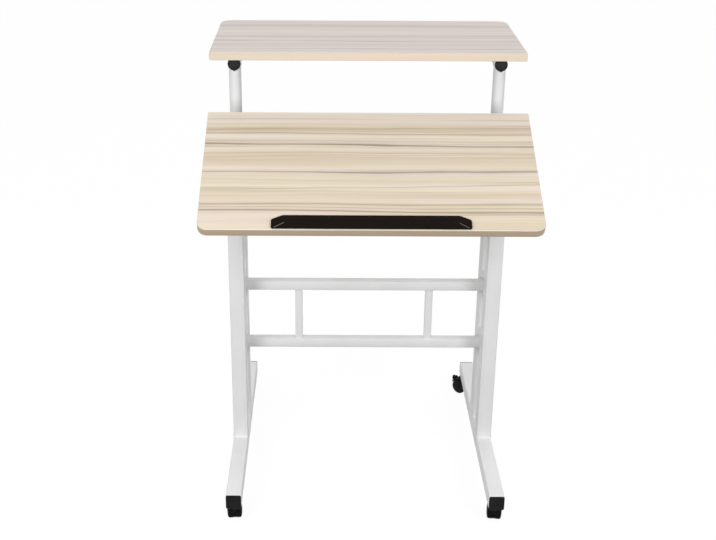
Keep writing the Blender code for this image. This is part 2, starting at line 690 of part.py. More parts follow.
def shelf_post_mesh():
    """A round post whose top is coped to sit under the shelf arm."""
    post = round_tube(POST_DIAMETER, SHELF_TUBE_WALL, POST_BOTTOM, SHELF_ARM_HEIGHT)
    saddle = prism(circle(SHELF_ARM_DIAMETER / 2 + REST_GAP, TUBE_STEPS), -POST_DIAMETER, POST_DIAMETER, "Y")
    return combine(post, [moved(saddle, (0, 0, SHELF_ARM_HEIGHT))], "DIFFERENCE")


def arm_plug_mesh():
    """A round end plug that points along Y."""
    radius = SHELF_ARM_DIAMETER / 2
    insert = radius - SHELF_TUBE_WALL - REST_GAP
    return loft([
        ring(circle(insert, TUBE_STEPS), -PLUG_INSERT, "Y"),
        ring(circle(insert, TUBE_STEPS), REST_GAP, "Y"),
        ring(circle(radius, TUBE_STEPS), REST_GAP, "Y"),
        ring(circle(radius, TUBE_STEPS), PLUG_FLANGE - CAP_EDGE, "Y"),
        ring(circle(radius - CAP_EDGE, TUBE_STEPS), PLUG_FLANGE, "Y"),
    ])


def build_shelf(root, white, black, wood):
    piece("shelf", board_mesh("rear", SHELF_CORNER_RADIUS), wood, root, (0, SHELF_FRONT, SHELF_UNDERSIDE))
    nose = UPRIGHT_Y - SHELF_ARM_NOSE
    tail = SHELF_FRONT + BOARD_DEPTH - SHELF_ARM_REAR_INSET
    ends = {"front": (nose, math.pi), "rear": (tail, 0)}
    for name, side in SIDES.items():
        piece(f"shelf_post_{name}", shelf_post_mesh(), white, root, (side * SIDE_X, UPRIGHT_Y, 0))
        arm = round_tube(SHELF_ARM_DIAMETER, SHELF_TUBE_WALL, nose, tail, "Y")
        piece(f"shelf_arm_{name}", arm, white, root, (side * SIDE_X, 0, SHELF_ARM_HEIGHT))
        for end_name, (place, turn) in ends.items():
            location = (side * SIDE_X, place, SHELF_ARM_HEIGHT)
            piece(f"arm_plug_{end_name}_{name}", arm_plug_mesh(), black, root, location, (0, 0, turn))


# Castors, about the stem's axis on the floor, trailing along Y

def hood_outline(radius):
    """A sector about the axle that covers the top of the wheels."""
    centre = (CASTOR_TRAIL, WHEEL_RADIUS)
    return [centre] + arc(centre, radius, HOOD_START, HOOD_END, HOOD_STEPS)


def pedal_axis():
    """The brake pedal's pin, as a place along Y and Z."""
    along = CASTOR_TRAIL + PEDAL_REACH * math.cos(PEDAL_ANGLE)
    return along, WHEEL_RADIUS + PEDAL_REACH * math.sin(PEDAL_ANGLE)


def lug_outline():
    """A rounded lug that reaches from inside the hood's wall round the pedal's pin."""
    along, up = pedal_axis()
    left = PEDAL_ANGLE + math.pi / 2
    root_radius = HOOD_RADIUS - HOOD_WALL / 2
    root = (CASTOR_TRAIL + root_radius * math.cos(PEDAL_ANGLE),
            WHEEL_RADIUS + root_radius * math.sin(PEDAL_ANGLE))
    shift = (PEDAL_LUG_RADIUS * math.cos(left), PEDAL_LUG_RADIUS * math.sin(left))
    crown = arc((along, up), PEDAL_LUG_RADIUS, left - math.pi, left, ARC_STEPS // 2)
    return crown + [(root[0] + shift[0], root[1] + shift[1]), (root[0] - shift[0], root[1] - shift[1])]


def lug_spans():
    """Where the two lugs stand along X, just outside the pedal's barrel."""
    near = PEDAL_WIDTH / 2 + REST_GAP
    return [(near, near + PEDAL_LUG_WIDTH), (-near - PEDAL_LUG_WIDTH, -near)]


def castor_housing_mesh(braked):
    """A hood over the wheels, a web between them that holds the axle, and a stem on top."""
    half = WHEEL_PAIR_WIDTH / 2
    axle = (0, CASTOR_TRAIL, WHEEL_RADIUS)
    top = CASTOR_HEIGHT - REST_GAP
    hood = prism(hood_outline(HOOD_RADIUS), -half, half, "X")
    web = prism(circle(WHEEL_RADIUS - WEB_FLOOR_GAP), -WEB_THICKNESS / 2, WEB_THICKNESS / 2, "X")
    swivel = loft([
        ring(circle(STEM_RADIUS), WHEEL_RADIUS + STEM_RADIUS),
        ring(circle(SWIVEL_RADIUS), top - SWIVEL_HEIGHT),
        ring(circle(SWIVEL_RADIUS), top),
    ])
    stem = prism(circle(STEM_RADIUS), top - STEM_RADIUS, top + STEM_LENGTH)
    body = combine(hood, [moved(web, axle), swivel, stem], "UNION")
    cuts = []
    for side in SIDES.values():
        pocket = circle((WHEEL_RADIUS + WHEEL_GAP) / math.cos(math.pi / WHEEL_STEPS), WHEEL_STEPS)
        spans = sorted((side * WEB_THICKNESS / 2, side * WHEEL_PAIR_WIDTH))
        cuts.append(moved(prism(pocket, *spans, "X"), axle))
    drill = prism(circle(AXLE_RADIUS + HOLE_GAP), -WEB_THICKNESS, WEB_THICKNESS, "X")
    body = combine(body, cuts + [moved(drill, axle)], "DIFFERENCE")
    if braked:
        lugs = [prism(lug_outline(), *span, "X") for span in lug_spans()]
        pin_hole = prism(circle(PEDAL_PIN_RADIUS + HOLE_GAP, PIN_STEPS), -PEDAL_WIDTH, PEDAL_WIDTH, "X")
        body = combine(body, lugs, "UNION")
        body = combine(body, [moved(pin_hole, (0, *pedal_axis()))], "DIFFERENCE")
    return body


def castor_wheels_mesh():
    """Two wheels with domed faces on one axle, turned about X. A flat of each tread is down."""
    half = WHEEL_PAIR_WIDTH / 2
    inner = WEB_THICKNESS / 2 + REST_GAP
    rim = WHEEL_RADIUS - WHEEL_EDGE
    dome = [(half + WHEEL_DOME * math.cos(turn), rim * math.sin(turn)) for turn in DOME_TURNS]
    tread = [(half - WHEEL_EDGE, WHEEL_RADIUS), (inner, WHEEL_RADIUS), (inner, AXLE_RADIUS)]
    outside_in = dome + tread
    flat = math.cos(math.pi / WHEEL_STEPS)
    profile = outside_in + [(-place, radius) for place, radius in reversed(outside_in)]
    return loft([ring(circle(radius / flat, WHEEL_STEPS), place, "X") for place, radius in profile])


def brake_pedal_mesh():
    """A tab on a barrel whose pin ends turn in the lugs, about the pin's own axis."""
    barrel = PEDAL_WIDTH / 2
    pin = barrel + REST_GAP + PEDAL_LUG_WIDTH
    thin = circle(PEDAL_PIN_RADIUS, PIN_STEPS)
    thick = circle(PEDAL_BARREL_RADIUS, PIN_STEPS)
    stations = [(thin, -pin), (thin, -barrel), (thick, -barrel), (thick, barrel), (thin, barrel), (thin, pin)]
    core = loft([ring(outline, place, "X") for outline, place in stations])
    plan = rectangle(PEDAL_WIDTH, PEDAL_LENGTH, PEDAL_PLATE)
    tab = moved(prism(plan, -PEDAL_PLATE / 2, PEDAL_PLATE / 2), (0, PEDAL_LENGTH / 2, 0))
    tab.transform(Matrix.Rotation(PEDAL_RISE, 4, "X"))
    return combine(core, [tab], "UNION")


def build_castors(root, black, rubber):
    for end_name, end in ENDS.items():
        braked = end_name == "rear"
        for name, side in SIDES.items():
            tag = f"{end_name}_{name}"
            stem = empty(
                f"castor_{tag}", root, (side * SIDE_X, end * CASTOR_Y, 0), (0, 0, CASTOR_HEADINGS[tag]))
            piece(f"castor_housing_{tag}", castor_housing_mesh(braked), black, stem)
            piece(f"castor_wheels_{tag}", castor_wheels_mesh(), rubber, stem, (0, CASTOR_TRAIL, WHEEL_RADIUS))
            if braked:
                piece(f"brake_pedal_{name}", brake_pedal_mesh(), black, stem, (0, *pedal_axis()))


def centre_footprint(root):
    """Moves the table so that its origin is under the middle of its box."""
    bpy.context.view_layer.update()
    solids = [solid for solid in bpy.data.objects if solid.type == "MESH"]
    depths = [(solid.matrix_world @ vertex.co).y for solid in solids for vertex in solid.data.vertices]
    root.location.y = -(min(depths) + max(depths)) / 2


def build_table():
    for leftover in list(bpy.data.objects):
        bpy.data.objects.remove(leftover, do_unlink=True)
    white = finish("white_powder_coat", (0.80, 0.80, 0.79), 0.45)
    black = finish("black_plastic", (0.02, 0.02, 0.021), 0.5)
    rubber = finish("castor_tread", (0.03, 0.03, 0.03), 0.7)
    steel = finish("zinc_steel", (0.62, 0.62, 0.60), 0.35, 1.0)
    wood = finish("maple_melamine", (0.70, 0.62, 0.50), 0.5)
    root = empty("laptop_table")
    build_frame(root, white, black)
    build_height_knobs(root, black)
    build_desk(root, white, black, steel, wood)
    build_shelf(root, white, black, wood)
    build_castors(root, black, rubber)
    centre_footprint(root)


build_table()
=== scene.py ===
"""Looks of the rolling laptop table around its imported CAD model, in metres with +Z up.

The CAD nodes keep their shapes and get smooth shading, eased edges and procedural finishes. Knobs, castor
wheels and end plugs are replaced by finer pieces, and screws, bolts, weld beads and castor keels are added.
"""
import json
import math

import bmesh
import bpy
from mathutils import Matrix, Vector

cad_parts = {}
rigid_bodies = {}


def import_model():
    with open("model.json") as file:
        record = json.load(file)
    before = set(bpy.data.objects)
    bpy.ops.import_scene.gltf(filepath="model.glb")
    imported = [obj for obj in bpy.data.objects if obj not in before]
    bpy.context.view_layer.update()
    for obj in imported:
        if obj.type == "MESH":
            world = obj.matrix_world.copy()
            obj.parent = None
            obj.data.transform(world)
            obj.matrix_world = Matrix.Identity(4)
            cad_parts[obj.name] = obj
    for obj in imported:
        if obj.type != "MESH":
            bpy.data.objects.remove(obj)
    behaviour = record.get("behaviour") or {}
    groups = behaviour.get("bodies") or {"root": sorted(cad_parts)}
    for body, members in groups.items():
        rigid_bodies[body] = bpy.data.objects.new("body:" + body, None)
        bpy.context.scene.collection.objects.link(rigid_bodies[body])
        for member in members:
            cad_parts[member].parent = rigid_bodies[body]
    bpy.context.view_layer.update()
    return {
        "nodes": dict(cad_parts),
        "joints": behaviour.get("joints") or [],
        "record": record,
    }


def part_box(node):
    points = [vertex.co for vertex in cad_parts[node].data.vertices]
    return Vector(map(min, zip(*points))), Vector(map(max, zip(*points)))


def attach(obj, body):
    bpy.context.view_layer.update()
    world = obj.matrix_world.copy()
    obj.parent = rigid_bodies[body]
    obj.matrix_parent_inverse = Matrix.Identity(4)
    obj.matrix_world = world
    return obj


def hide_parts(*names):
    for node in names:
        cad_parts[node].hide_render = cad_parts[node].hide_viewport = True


MM = 0.001
SIDES = {"left": -1, "right": 1}
ENDS = ("front", "rear")

# Camera, fitted to the edges in the photograph
CAMERA_PLACE = (-75.4 * MM, -2171.6 * MM, 1371.7 * MM)
CAMERA_TILT = math.radians(66.66)
CAMERA_YAW = math.radians(0.13)
CAMERA_ROLL = math.radians(0.21)
CAMERA_LENS = 58.977
CAMERA_SHIFT = 0.04643

# Studio
AMBIENT = 0.56
KEY_POWER = {"left": 13.2, "right": 11.4}
KEY_SPREAD = 1.05
KEY_DEPTH = 1.4
KEY_HEIGHT = 1.05
KEY_AIM = (0.0, 0.0, 0.6)
KEY_SIZE = 0.7
FILL_STRENGTH = 0.58
FILL_FROM = (0.3, 2.2, 1.0)
FILL_SPREAD = math.radians(50)
FLOOR_HALF = 12.0
FLOOR_BOUNCE = (0.12, 0.12, 0.12)
FLOOR_MATT = (0.095, 0.095, 0.095)
FLOOR_GLOW = 0.93

# Plain colours, in linear RGB
WHITE_PAINT = (0.88, 0.885, 0.885)
BLACK_PLASTIC = (0.0098, 0.0098, 0.0104)
PLUG_PLASTIC = (0.0085, 0.0085, 0.0085)
# Castor housings and keels: a darker black than the wheels, painted shade under the foot caps
CASTOR_SHADED_BLACK = (0.005, 0.005, 0.005)
CASTOR_TREAD = (0.008, 0.008, 0.0082)
LEDGE_BLACK = (0.0115, 0.0080, 0.0058)
# Painted highlight for the slanted ends of the ledge's lip
LEDGE_PAINTED_HIGHLIGHT = (0.15, 0.14, 0.135)
ZINC_DULL = (0.50, 0.50, 0.49)
ZINC_BRIGHT = (0.74, 0.74, 0.71)

# Sizes repeated from the CAD
REST_TILT = math.radians(26)
REST_GAP = 0.3 * MM
DESK_RISE = 23.0 * MM
DESK_REAR_OVERHANG = 8 * MM
ARM_PLATE = 3 * MM
ARM_SCREW_X = 227.2 * MM
ARM_SCREW_REACHES = (45 * MM, 135 * MM, 225 * MM)
BOARD_THICKNESS = 16 * MM
BOARD_WIDTH = 600 * MM
BOARD_DEPTH = 300 * MM
KNOB_RADIUS = 20 * MM
KNOB_LOBES = 6
KNOB_LOBE_DEPTH = 3.5 * MM
KNOB_HUB_RADIUS = 9 * MM
KNOB_HUB_HEIGHT = 5 * MM
KNOB_HEIGHT = 18 * MM
KNOB_STUD_RADIUS = 4 * MM
WHEEL_RADIUS = 17 * MM
WHEEL_PAIR_WIDTH = 25 * MM
WHEEL_DOME = 2.5 * MM
WHEEL_INNER = 2.8 * MM
AXLE_RADIUS = 2.5 * MM
WEB_THICKNESS = 5 * MM
SHELF_ARM_RADIUS = 12.5 * MM
POST_RADIUS = 12 * MM
TUBE_CORNER = 3 * MM
RAIL_CORNER = 2 * MM

# Small fittings and edges
KNOB_EDGE = 3 * MM
KNOB_CAP_RADIUS = 11 * MM
KNOB_GROOVE = 0.7 * MM
WHEEL_SHOULDER = 1.5 * MM
KEEL_DROP = 0.4 * MM
KEEL_WIDTH = 3 * MM
KEEL_EDGE = 0.4 * MM
PLUG_NUB = 1.6 * MM
PLUG_WALL = 1.8 * MM
PLUG_DEPTH = 11.7 * MM
WELD_RADIUS = 1.4 * MM
WELD_RIPPLE = 0.16
WELD_PITCH = 2.6 * MM
WELD_STEP = 0.65 * MM
WELD_SIDES = 6
SCREW_HEAD_RADIUS = 4.6 * MM
SCREW_HEAD_HEIGHT = 2.4 * MM
SCREW_RECESS = 1.4 * MM
SHELF_SCREW_SHARES = (0.30, 0.88)
BOLT_HEAD_RADIUS = 5.6 * MM
BOLT_HEAD_HEIGHT = 3.2 * MM
BOLT_RECESS = 2.2 * MM
WASHER_RADIUS = 8 * MM
WASHER_HEIGHT = 1.2 * MM
EASED_EDGE = 0.4 * MM
EASED_ANGLE = math.radians(40)
SHARP_ANGLE = math.radians(38)
JOIN_DISTANCE = 0.005 * MM

for leftover in list(bpy.data.objects):
    bpy.data.objects.remove(leftover, do_unlink=True)
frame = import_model()


# Finishes

class Finish:
    """A Principled material with the procedural nodes that feed it."""

    def __init__(self, name, colour, roughness, metallic=0.0, specular=0.5):
        self.material = bpy.data.materials.new(name)
        self.material.use_nodes = True
        self.nodes = self.material.node_tree.nodes
        self.links = self.material.node_tree.links
        self.shader = self.nodes["Principled BSDF"]
        self.place = self.nodes.new("ShaderNodeTexCoord").outputs["Object"]
        self.feed("Base Color", (*colour, 1))
        self.feed("Roughness", roughness)
        self.feed("Metallic", metallic)
        self.feed("Specular IOR Level", specular)

    def connect(self, socket, value):
        """Links a socket to another, or sets its value."""
        if isinstance(value, bpy.types.NodeSocket):
            self.links.new(value, socket)
        else:
            socket.default_value = value

    def feed(self, name, value):
        self.connect(self.shader.inputs[name], value)

    def mapped(self, location, turn):
        """The object's own coordinates, counted from a place and turned about X."""
        node = self.nodes.new("ShaderNodeMapping")
        node.vector_type = "TEXTURE"
        self.links.new(self.place, node.inputs["Vector"])
        node.inputs["Location"].default_value = location
        node.inputs["Rotation"].default_value = (turn, 0, 0)
        return node.outputs["Vector"]

    def noise(self, per_metre, detail=2.0, place=None):
        """Noise with so many features per metre along each axis, from 0 to 1."""
        stretch = self.nodes.new("ShaderNodeMapping")
        self.links.new(place or self.place, stretch.inputs["Vector"])
        stretch.inputs["Scale"].default_value = per_metre
        node = self.nodes.new("ShaderNodeTexNoise")
        self.links.new(stretch.outputs["Vector"], node.inputs["Vector"])
        node.inputs["Scale"].default_value = 1
        node.inputs["Detail"].default_value = detail
        return node.outputs["Fac"]

    def maths(self, operation, first, second=0.0):
        node = self.nodes.new("ShaderNodeMath")
        node.operation = operation
        self.connect(node.inputs[0], first)
        self.connect(node.inputs[1], second)
        return node.outputs[0]

    def remap(self, value, low, high, new_low=0.0, new_high=1.0):
        """Maps a range smoothly to another one and holds it there."""
        node = self.nodes.new("ShaderNodeMapRange")
        node.interpolation_type = "SMOOTHSTEP"
        for name, number in zip(("From Min", "From Max", "To Min", "To Max"), (low, high, new_low, new_high)):
            node.inputs[name].default_value = number
        self.links.new(value, node.inputs["Value"])
        return node.outputs["Result"]

    def mix(self, factor, first, second):
        """A colour between two others, which are sockets or linear RGB."""
        node = self.nodes.new("ShaderNodeMix")
        node.data_type = "RGBA"
        sockets = {socket.identifier: socket for socket in node.inputs}
        for name, value in (("Factor_Float", factor), ("A_Color", first), ("B_Color", second)):
            self.connect(sockets[name], (*value, 1) if isinstance(value, tuple) else value)
        return next(socket for socket in node.outputs if socket.identifier == "Result_Color")

    def ramp(self, value, stops):
        """A grey level that follows straight lines through (position, level) stops."""
        node = self.nodes.new("ShaderNodeValToRGB")
        self.links.new(value, node.inputs["Fac"])
        points = node.color_ramp.elements
        for position, level in stops[1:-1]:
            points.new(position).color = (level, level, level, 1)
        for point, (position, level) in ((points[0], stops[0]), (points[-1], stops[-1])):
            point.position = position
            point.color = (level, level, level, 1)
        return node.outputs["Color"]

    def parts(self, vector):
        node = self.nodes.new("ShaderNodeSeparateXYZ")
        self.links.new(vector, node.inputs[0])
        return node.outputs

    def vector(self, first, second, third):
        node = self.nodes.new("ShaderNodeCombineXYZ")
        for socket, value in zip(node.inputs, (first, second, third)):
            self.connect(socket, value)
        return node.outputs[0]

    def bump(self, height, depth):
        node = self.nodes.new("ShaderNodeBump")
        self.links.new(height, node.inputs["Height"])
        node.inputs["Distance"].default_value = depth
        self.feed("Normal", node.outputs["Normal"])


def powder_coat(name, colour, roughness, specular):
    """Sprayed paint: faint orange peel, with gloss and shade that drift a little."""
    paint = Finish(name, colour, roughness, specular=specular)
    drift = paint.noise((11, 11, 11), 3)
    shade = tuple(channel * 0.955 for channel in colour)
    paint.feed("Base Color", paint.mix(paint.remap(drift, 0.3, 0.7), shade, colour))
    paint.feed("Roughness", paint.remap(drift, 0.3, 0.7, roughness + 0.06, roughness - 0.04))
    paint.bump(paint.noise((750, 750, 750), 2), 0.05 * MM)
    return paint.material


def ledge_coat(name):
    """Black powder coat with a painted highlight: paler on the slanted ends of the lip, which face sideways
    and up.
    """
    coat = Finish(name, LEDGE_BLACK, 0.40, specular=0.03)
    drift = coat.noise((11, 11, 11), 3)
    facing = coat.nodes.new("ShaderNodeTexCoord").outputs["Normal"]
    sideways, _, upward = coat.parts(facing)
    # Painted highlight: faces tilted sideways and up, as on the lip's slanted ends, are painted paler,
    # unevenly along their length
    slanted = coat.maths("MULTIPLY", coat.remap(coat.maths("ABSOLUTE", sideways), 0.35, 0.50),
                         coat.remap(upward, 0.50, 0.65))
    painted_highlight = coat.maths("MULTIPLY", slanted, coat.remap(drift, 0.2, 0.6, 0.6, 1.0))
    coat.feed("Base Color", coat.mix(painted_highlight, LEDGE_BLACK, LEDGE_PAINTED_HIGHLIGHT))
    coat.feed("Roughness", coat.remap(drift, 0.3, 0.7, 0.46, 0.36))
    coat.bump(coat.noise((750, 750, 750), 2), 0.05 * MM)
    return coat.material


def moulded_plastic(name, colour, roughness, specular, grain):
    """Moulded plastic: a fine spark-eroded grain, and dull patches."""
    plastic = Finish(name, colour, roughness, specular=specular)
    patch = plastic.noise((60, 60, 60), 3)
    lighter = tuple(channel * 1.5 for channel in colour)
    plastic.feed("Base Color", plastic.mix(plastic.remap(patch, 0.35, 0.75), colour, lighter))
    plastic.feed("Roughness", plastic.remap(patch, 0.3, 0.7, roughness - 0.06, roughness + 0.08))
    plastic.bump(plastic.noise((grain, grain, grain), 2), 0.06 * MM)
    return plastic.material


def zinc_plate(name):
    """Zinc-plated steel with fine drawn lines and a cloudy bloom."""
    zinc = Finish(name, ZINC_BRIGHT, 0.32, metallic=1.0)
    bloom = zinc.noise((220, 220, 220), 3)
    zinc.feed("Base Color", zinc.mix(bloom, ZINC_DULL, ZINC_BRIGHT))
    zinc.feed("Roughness", zinc.remap(bloom, 0.3, 0.7, 0.26, 0.42))
    zinc.bump(zinc.noise((200, 2600, 2600), 2), 0.02 * MM)
    return zinc.material


# Boards: pale maple-look melamine with lines along X, and an edge band of the same print

SHELF_PRINT_SHIFT = 0.11
DESK_TONES = {
    "straw": (0.868, 0.787, 0.605),
    "rose": (0.870, 0.766, 0.690),
    "tan": (0.590, 0.455, 0.305),
    "pale": (0.91, 0.835, 0.735),
    "line": (0.25, 0.175, 0.11),
    # The desk's edge tone is darker than the shelf's: painted shade of an edge that faces down and forward
    "edge": (0.355, 0.255, 0.15),
}
SHELF_TONES = {
    "straw": (0.93, 0.85, 0.745),
    "rose": (0.94, 0.835, 0.795),
    "tan": (0.70, 0.61, 0.575),
    "pale": (0.97, 0.915, 0.855),
    "line": (0.46, 0.39, 0.37),
    "edge": (0.79, 0.66, 0.49),
}
# Each line's place from the rear edge to the front one, its drift to the right, half width and strength
LINES = (
    (0.150, -0.030, 0.008, 0.45),
    (0.198, 0.004, 0.007, 0.55),
    (0.264, 0.006, 0.006, 0.50),
    (0.300, 0.024, 0.014, 0.90),
    (0.370, 0.012, 0.010, 0.30),
    (0.527, -0.008, 0.011, 0.75),
    (0.650, -0.050, 0.005, 0.45),
    (0.794, 0.000, 0.009, 0.65),
    (0.824, 0.008, 0.007, 0.50),
    (0.852, 0.013, 0.011, 0.85),
)
# Broad bands from tan to cream, by place from the rear edge to the front one
BANDS = (
    (0.00, 1.00), (0.09, 1.00), (0.12, 0.45), (0.19, 0.30), (0.22, 0.95), (0.27, 0.80),
    (0.33, 0.95), (0.37, 0.50), (0.41, 0.22), (0.45, 0.50), (0.49, 0.90), (0.58, 0.60),
    (0.64, 0.85), (0.72, 0.45), (0.78, 0.55), (0.88, 0.70), (0.95, 0.60), (1.00, 0.60),
)


def printed_lines(board, share, along, print_place):
    """The strength of the print's dark lines, which drift, swell and fade along their length."""
    swell = board.remap(board.noise((6, 25, 1), 2, print_place), 0.3, 0.7, 1.5, 0.75)
    strongest = 0.0
    for middle, drift, half_width, strength in LINES:
        lean = board.maths("MULTIPLY", along, drift / BOARD_WIDTH)
        offset = board.maths("SUBTRACT", board.maths("SUBTRACT", share, middle), lean)
        distance = board.maths("MULTIPLY", board.maths("ABSOLUTE", offset), swell)
        line = board.remap(distance, half_width, 0.2 * half_width, 0.0, strength)
        halo = board.remap(distance, 3 * half_width, half_width, 0.0, 0.2 * strength)
        strongest = board.maths("MAXIMUM", board.maths("MAXIMUM", line, halo), strongest)
    fading = board.remap(board.noise((3.2, 30, 1), 2, print_place), 0.30, 0.62, 0.80, 1.0)
    return board.maths("MULTIPLY", strongest, fading)


def melamine(name, origin, tilt, tones, shift):
    """A board's print, laid out from the middle of its top face. Shift moves the print across the board."""
    board = Finish(name, tones["straw"], 0.42, specular=0.5)
    local = board.mapped(origin, tilt)
    along, across, height = board.parts(local)
    warp_slow = board.noise((1.6, 9, 9), 2, local)
    warp_fine = board.noise((7, 45, 45), 2, local)
    bend = board.maths("ADD", board.remap(warp_slow, 0.2, 0.8, -4 * MM, 4 * MM),
                       board.remap(warp_fine, 0.2, 0.8, -0.6 * MM, 0.6 * MM))
    sunk = board.maths("MULTIPLY", height, 2.3)
    depth = board.maths("ADD", board.maths("ADD", across, bend), board.maths("ADD", sunk, shift))
    print_place = board.vector(along, depth, 0.0)
    share = board.maths("FRACT", board.maths("SUBTRACT", 0.5, board.maths("DIVIDE", depth, BOARD_DEPTH)))

    drawn = board.maths("MULTIPLY", board.ramp(share, BANDS), 0.75)
    clouds = board.remap(board.noise((0.8, 42, 1), 3, print_place), 0.34, 0.66, 0.0, 0.25)
    fibres = board.noise((2.5, 260, 1), 3, print_place)
    pores = board.noise((26, 1500, 1), 2, print_place)
    hue = board.remap(board.noise((2.1, 52, 1), 2, print_place), 0.36, 0.62)
    cream = board.mix(hue, tones["straw"], tones["rose"])
    colour = board.mix(board.maths("ADD", drawn, clouds), tones["tan"], cream)
    colour = board.mix(board.remap(fibres, 0.45, 0.80, 0.0, 0.6), colour, tones["pale"])
    lines = printed_lines(board, share, along, print_place)
    colour = board.mix(board.maths("MULTIPLY", lines, 0.9), colour, tones["line"])
    faint = board.remap(board.noise((1.4, 120, 1), 2, print_place), 0.56, 0.70, 0.0, 0.22)
    colour = board.mix(faint, colour, tones["line"])

    on_edge = board.remap(height, -0.5 * MM, -1.3 * MM)
    below = board.remap(height, 1.3 * MM - BOARD_THICKNESS, 0.5 * MM - BOARD_THICKNESS)
    band = board.maths("SUBTRACT", on_edge, below)
    # On the desk the edge tone carries painted shade of its downward-facing front edge; on the shelf it is
    # the band's own colour
    colour = board.mix(band, colour, board.mix(0.7, colour, tones["edge"]))
    seam = board.maths("MULTIPLY", on_edge, board.remap(height, -2.0 * MM, -1.2 * MM))
    colour = board.mix(board.maths("MULTIPLY", seam, 0.35), colour, tones["line"])

    board.feed("Base Color", colour)
    board.feed("Roughness", board.remap(fibres, 0.3, 0.7, 0.42, 0.55))
    board.bump(pores, 0.03 * MM)
    return board.material


def tilted_top(pivot):
    """The middle of the desktop's top face at rest."""
    reach = BOARD_DEPTH / 2 - DESK_REAR_OVERHANG
    rise = DESK_RISE + BOARD_THICKNESS
    return Vector(pivot) + Matrix.Rotation(REST_TILT, 3, "X") @ Vector((0, -reach, rise))


# Outlines and solids

def circle(radius, steps):
    turns = [2 * math.pi * (step + 0.5) / steps for step in range(steps)]
    return [(radius * math.cos(turn), radius * math.sin(turn)) for turn in turns]


def polar(reach, steps):
    """An outline whose reach depends on its turn."""
    turns = [2 * math.pi * step / steps for step in range(steps)]
    return [(reach(turn) * math.cos(turn), reach(turn) * math.sin(turn)) for turn in turns]


def rectangle(width, height, radius, steps=5):
    points = []
    for quarter in range(4):
        across = 1 if quarter in (0, 3) else -1
        up = 1 if quarter in (0, 1) else -1
        for step in range(steps + 1):
            turn = (quarter + step / steps) * math.pi / 2
            points.append((across * (width / 2 - radius) + radius * math.cos(turn),
                           up * (height / 2 - radius) + radius * math.sin(turn)))
    return points


def loft(rings, closed=False):
    """A mesh through rings of equal count along Z, capped at its ends or closed back to its first ring."""
    mesh = bpy.data.meshes.new("loft")
    shape = bmesh.new()
    loops = [[shape.verts.new(point) for point in points] for points in rings]
    pairs = list(zip(loops, loops[1:]))
    if closed:
        pairs.append((loops[-1], loops[0]))
    else:
        shape.faces.new(loops[0])
        shape.faces.new(loops[-1])
    for low, high in pairs:
        for index in range(len(low)):
            after = (index + 1) % len(low)
            shape.faces.new((low[index], low[after], high[after], high[index]))
    bmesh.ops.recalc_face_normals(shape, faces=shape.faces)
    shape.to_mesh(mesh)
    shape.free()
    return mesh


def lifted(outline, height):
    return [(first, second, height) for first, second in outline]


def merged(meshes):
    """One mesh from several."""
    shape = bmesh.new()
    for mesh in meshes:
        shape.from_mesh(mesh)
        bpy.data.meshes.remove(mesh)
    result = bpy.data.meshes.new("merged")
    shape.to_mesh(result)
    shape.free()
    return result


def placed(mesh, matrix):
    mesh.transform(matrix)
    return mesh


def outward(side):
    """Turns a solid that points along Z to point along X, out of its side of the table."""
    return Matrix.Rotation(side * math.pi / 2, 4, "Y")


def piece(name, mesh, material, body, slot, *nodes):
    """Adds a mesh that is already in place, rides it on a body and lets it stand for CAD nodes."""
    mesh.name = name
    mesh.materials.append(material)
    mesh.shade_smooth()
    mesh.set_sharp_from_angle(angle=SHARP_ANGLE)
    solid = bpy.data.objects.new(name, mesh)
    bpy.context.scene.collection.objects.link(solid)
    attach(solid, body)
    if nodes:
        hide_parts(*nodes)
    return solid


# CAD nodes: welded and shaded smooth, with their edges eased

def smoothing_group():
    """Geometry nodes that join the mesh's loose triangles and keep only real edges sharp."""
    group = bpy.data.node_groups.new("smooth_by_angle", "GeometryNodeTree")
    group.interface.new_socket("Geometry", in_out="INPUT", socket_type="NodeSocketGeometry")
    group.interface.new_socket("Geometry", in_out="OUTPUT", socket_type="NodeSocketGeometry")
    first = group.nodes.new("NodeGroupInput")
    join = group.nodes.new("GeometryNodeMergeByDistance")
    join.inputs["Distance"].default_value = JOIN_DISTANCE
    angle = group.nodes.new("GeometryNodeInputMeshEdgeAngle")
    sharp = group.nodes.new("FunctionNodeCompare")
    sharp.operation = "GREATER_THAN"
    sharp.inputs["B"].default_value = SHARP_ANGLE
    normals = group.nodes.new("GeometryNodeSetMeshNormal")
    normals.inputs["Remove Custom"].default_value = True
    last = group.nodes.new("NodeGroupOutput")
    group.links.new(first.outputs[0], join.inputs["Geometry"])
    group.links.new(angle.outputs["Unsigned Angle"], sharp.inputs["A"])
    group.links.new(sharp.outputs[0], normals.inputs["Edge Sharpness"])
    group.links.new(join.outputs[0], normals.inputs["Mesh"])
    group.links.new(normals.outputs[0], last.inputs[0])
    return group


def dress_cad(finishes):
    """Gives each CAD node the finish of its material slot."""
    group = smoothing_group()
    slots = {row["node"]: row["material_slot"] for row in frame["record"]["subparts"]}
    for name, node in frame["nodes"].items():
        node.material_slots[0].material = finishes[name if name in finishes else slots[name]]
        smooth = node.modifiers.new("smooth", "NODES")
        smooth.node_group = group
        ease = node.modifiers.new("ease", "BEVEL")
        ease.width = EASED_EDGE
        ease.segments = 2
        ease.limit_method = "ANGLE"
        ease.angle_limit = EASED_ANGLE
        ease.harden_normals = True


# Pieces that replace CAD nodes

